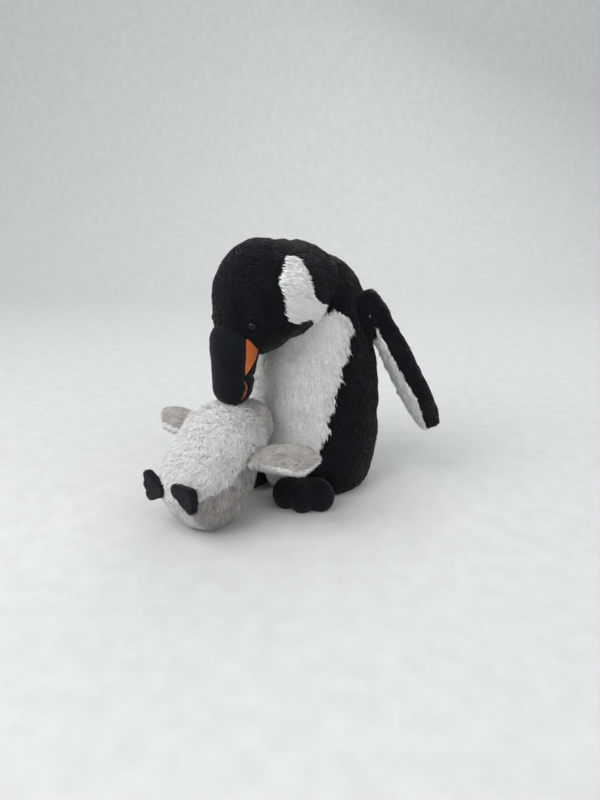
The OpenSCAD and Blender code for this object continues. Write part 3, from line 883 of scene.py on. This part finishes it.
chick_v, chick_f = star((SEAT + CHEST) / 2, chick_inside, 7, far=70)
chick_n = point_normals(chick_v, chick_f)
rise = np.clip(-belly_shape(chick_v) * 1.6, 0, 1)
rise = rise * np.clip(((chick_v - SEAT) @ ALONG + 24) / 26, 0, 1)
chick_v = chick_v + chick_n * (rise ** 0.7 * 5.6)[:, None]
chick_v += chick_n * (waves(8, 14, 36)(chick_v)[:, :1] * 0.6)
chick_v[:, 2] = np.maximum(chick_v[:, 2], 0.8)
mid = centres(chick_v, chick_f)
belly = belly_shape(mid) < 0
seat = np.linalg.norm(np.cross(mid - SEAT, SEAT_WAY), axis=1) < SEAT_PATCH_R
seat &= ((mid - SEAT) @ SEAT_WAY > 0) & ~belly
apart = np.linalg.norm(mid - CHICK_HEAD, axis=1) > CHICK_HEAD_R - 1.5
cv, cf = panel("chick_back_cloth", chick_v, chick_f, ~belly & ~seat & apart, "chick", "grey_plush",
               ["chick_back"])
bv, bf = panel("chick_belly_cloth", chick_v, chick_f, belly & apart, "chick", "white_fleece",
               ["chick_belly_panel"])
sv, sf = panel("chick_seat_cloth", chick_v, chick_f, seat & apart, "chick", "pale_plush",
               ["chick_seat_panel"])

kd, kf = ball_mesh(6)
kv = CHICK_HEAD + kd * CHICK_HEAD_R
kv += kd * (waves(9, 14, 30)(kv)[:, :1] * 0.3)
kmid = centres(kv, kf)
hcv, hcf = panel("chick_head_cloth", kv, kf, chick_inside(kmid) > -1.5, "chick", "grey_plush",
                 ["chick_head_skin"])


def to_seat(p, n):
    return np.tile(-ALONG, (len(p), 1)) + n * 0.1


def nearest(p, spots):
    return np.min([np.linalg.norm(p - q, axis=1) for q in spots], axis=0)


# the eyes and the beak, and the middles of the feet
FACE_SPOTS = [CHICK_HEAD + CHICK_HEAD_R * np.array(q)
              for q in ((0.766, -0.369, 0.527), (-0.766, -0.369, 0.527), (0, -0.574, 0.819))]
FOOT_SPOTS = [np.array([16.0, -148, 41]), np.array([-13.0, -149, 37])]
pile("chick_back_pile", cv, cf, "chick", "grey_plush", 19400, 4.8, 0.36, to_seat, 51, flat=0.8, wander=0.4,
     clump=0.35, clump_size=(4, 10), keep=lambda p: (p[:, 2] > 2.5) & (nearest(p, FOOT_SPOTS) > 6))
for side, sign in SIDES:
    pile("chick_belly_pile_" + side, bv, bf[centres(bv, bf)[:, 0] * sign > 0], "chick", "white_fleece", 18500,
         lambda p: 5.6 - 1.6 * np.clip((14 - (p - SEAT) @ ALONG) / 30, 0, 1), 0.3, to_seat, 53 + sign, flat=0.6,
         wander=0.55, clump=0.2, clump_size=(3, 8), weight=0.1, keep=lambda p: nearest(p, FOOT_SPOTS) > 5)
pile("chick_seat_pile", sv, sf, "chick", "pale_plush", 6500, 3.2, 0.34, to_seat, 55, flat=1.1, wander=0.4,
     clump=0.2, keep=lambda p: (p[:, 2] > 2.0) & (nearest(p, FOOT_SPOTS) > 6))
pile("chick_head_pile", hcv, hcf, "chick", "grey_plush", 7500, 3.8, 0.42,
     lambda p, n: np.tile([0, 0.8, -0.6], (len(p), 1)), 57, flat=1.0, wander=0.4, clump=0.3,
     keep=lambda p: (nearest(p, FACE_SPOTS) > 3.0) & (chick_inside(p) > 0.5))

# chick wings: grey above, white fleece below and round the rim
for side, sign in SIDES:
    body = "chick_wing_" + side
    spin = turned(*CHICK_WING_TURN[side])
    to_wing = lambda q: CHICK_WING_AT + np.stack([-q[:, 2], -q[:, 0], q[:, 1]], axis=1) @ spin.T
    halves = paddle(*CHICK_WING_SIZE, 4.8, 4.8, to_wing, rows=50, square=3.0)
    (ov, of), (lv, lf) = (flip(v, f, sign) for v, f in halves)
    top = (spin @ np.array([0, 0, 1.0])) * [sign, 1, 1]
    along = (spin @ np.array([1.0, 0, 0])) * [sign, 1, 1]
    of, lf = face_out(ov, of, top), face_out(lv, lf, -top)
    spot = (centres(ov, of) * [sign, 1, 1] - CHICK_WING_AT) @ spin
    fold = spot[:, 1] < -0.9 * paddle_half(spot[:, 0], *CHICK_WING_SIZE)
    lv, lf = np.concatenate([lv, ov]), np.concatenate([lf, of[fold] + len(lv)])
    ov2, of2 = panel(body + "_outer_cloth", ov, of, ~fold, body, "grey_plush", [body + "_outer"])
    lv2, lf2 = panel(body + "_lining_cloth", lv, lf, np.ones(len(lf), bool), body, "white_fleece",
                     [body + "_lining"])
    comb = brushed(along, 0.8)
    pile(body + "_outer_pile", ov2, of2, body, "grey_plush", 4800, 3.8, 0.34, comb, 61 + sign, flat=1.0,
         wander=0.4, clump=0.3)
    pile(body + "_lining_pile", lv2, lf2, body, "white_fleece", 6500, 3.8, 0.32, comb, 65 + sign, flat=1.0,
         wander=0.45, clump=0.2)


# chick feet: flat lobed pads with a wavy stitched edge
PAD_TOE, PAD_ROUND, PAD_FLAT = 18, 1.6, 1.4
PADS = {"left": ((11.0, -153, 43.5), 17, 97), "right": ((9.0, -154, 37), 24, 96)}     # place, fan, droop


def pad_inside(p, fan):
    best = None
    for turn in (-fan, 0, fan):
        g = math.radians(turn)
        d = pod(p * [1, 1, 0], np.zeros(3), PAD_TOE * np.array([-math.sin(g), math.cos(g), 0]), 5.0, 4.8)
        best = d if best is None else melt(best, d, 1.2)
    return best


def pad_round(p, fan):
    flat = pad_inside(p, fan) + PAD_ROUND
    tall = np.abs(p[:, 2]) - PAD_FLAT
    past = np.hypot(np.maximum(flat, 0), np.maximum(tall, 0))
    return past + np.minimum(np.maximum(flat, tall), 0) - PAD_ROUND


for side, sign in SIDES:
    at, fan, droop = PADS[side]
    at, spin = np.array(at), turned(90, 0, 0) @ turned(0, 0, -droop)
    hub = np.array([0, 10.0, 0])
    pad_v, pad_f = star(hub, lambda p, fan=fan: pad_round(p, fan), 6, far=26)
    edge = np.exp(-(np.abs(pad_v[:, 2]) / 0.5) ** 2)
    pad_v[:, 2] += 0.3 * np.sin(np.arctan2(pad_v[:, 1] - hub[1], pad_v[:, 0]) * 26) * edge
    v, f = flip(at + pad_v @ spin.T, pad_f, sign)
    panel("chick_foot_%s_cloth" % side, v, f, np.ones(len(f), bool), "chick", "black_felt",
          ["chick_foot_" + side], thick=0.9)
    nap("chick_foot_%s_nap" % side, v, f, "chick", "black_felt", 2200)
    line = []
    for g in np.linspace(0, 2 * math.pi, 120):
        d = np.array([math.cos(g), math.sin(g), 0])
        reach = edge_distance(lambda p, fan=fan: pad_round(p, fan), hub, d, 26.0, 22)
        q = d * (reach - 1.7) + hub + [0, 0, 2.9]
        line.append(((at + spin @ q) * [sign, 1, 1], (spin @ np.array([0, 0, 1.0])) * [sign, 1, 1]))
    stitches("chick_foot_%s_stitches" % side, line, "chick", "thread", long=1.3, gap=1.0, thick=0.2, lift=0.0)


# ---------------------------------------------------------------- the shot
VIEW_TURN, VIEW_LIFT, VIEW_FAR = 46, 19.5, 0.530
AIM, LAMP_AIM = Vector((0.0047, -0.023, 0.080)), Vector((0, -0.03, 0.1))


def backdrop():
    """A floor that sweeps up into a wall behind the toy, square to the camera's view."""
    floor_end, bend, wall_top, half_wide = 0.9, 0.7, 3.2, 8.0
    curve = [(floor_end + bend * math.sin(a), bend - bend * math.cos(a))
             for a in np.linspace(0.05, math.pi / 2, 16)]
    prof = [(-half_wide, 0.0), (floor_end, 0.0)] + curve + [(floor_end + bend, wall_top)]
    az = math.radians(VIEW_TURN)
    away, across = np.array([-math.sin(az), math.cos(az), 0]), np.array([math.cos(az), math.sin(az), 0])
    pts = [away * d + across * x + np.array([0, 0, h]) for d, h in prof for x in (-half_wide, half_wide)]
    quad = [[2 * i, 2 * i + 1, 2 * i + 3, 2 * i + 2] for i in range(len(prof) - 1)]
    me = bpy.data.meshes.new("backdrop")
    me.from_pydata([tuple(q) for q in pts], [], quad)
    for poly in me.polygons:
        poly.use_smooth = True
    obj = bpy.data.objects.new("backdrop", me)
    bpy.context.scene.collection.objects.link(obj)
    mat, tree, shader, place = material("backdrop")
    colour = ramp(tree, noise(tree, place, 60, 5), (0.60, 0.61, 0.60), (0.645, 0.655, 0.645), (0.35, 0.7))
    tree.links.new(colour.outputs["Color"], shader.inputs["Base Color"])
    set_input(shader, ["Roughness"], 0.85)
    me.materials.append(mat)


backdrop()
scene = bpy.context.scene
scene.view_settings.view_transform = "Standard"
world = bpy.data.worlds.new("studio")
world.use_nodes = True
world.node_tree.nodes["Background"].inputs["Color"].default_value = (0.93, 0.96, 1.0, 1)
world.node_tree.nodes["Background"].inputs["Strength"].default_value = 0.62
scene.world = world


def around(turn, lift):
    """The direction at a turn from the front and a lift from the floor, both in degrees."""
    a, e = math.radians(turn), math.radians(lift)
    return Vector((math.sin(a) * math.cos(e), -math.cos(a) * math.cos(e), math.sin(e)))


camera = bpy.data.objects.new("camera", bpy.data.cameras.new("camera"))
camera.data.lens = 28
camera.data.clip_start = 0.01
camera.location = AIM + VIEW_FAR * around(VIEW_TURN, VIEW_LIFT)
camera.rotation_euler = (AIM - camera.location).to_track_quat("-Z", "Y").to_euler()
scene.collection.objects.link(camera)
scene.camera = camera


def lamp(name, turn, lift, reach, size, power):
    """A soft area light, placed by its angle from the front and its height."""
    data = bpy.data.lights.new(name, "AREA")
    data.size = size
    data.energy = power
    obj = bpy.data.objects.new(name, data)
    obj.location = reach * around(turn, lift)
    obj.rotation_euler = (LAMP_AIM - obj.location).to_track_quat("-Z", "Y").to_euler()
    scene.collection.objects.link(obj)


lamp("key", -8, 48, 1.5, 1.1, 15)
lamp("fill", 100, 35, 1.7, 1.4, 6)
lamp("rim", 200, 50, 1.6, 1.0, 7)
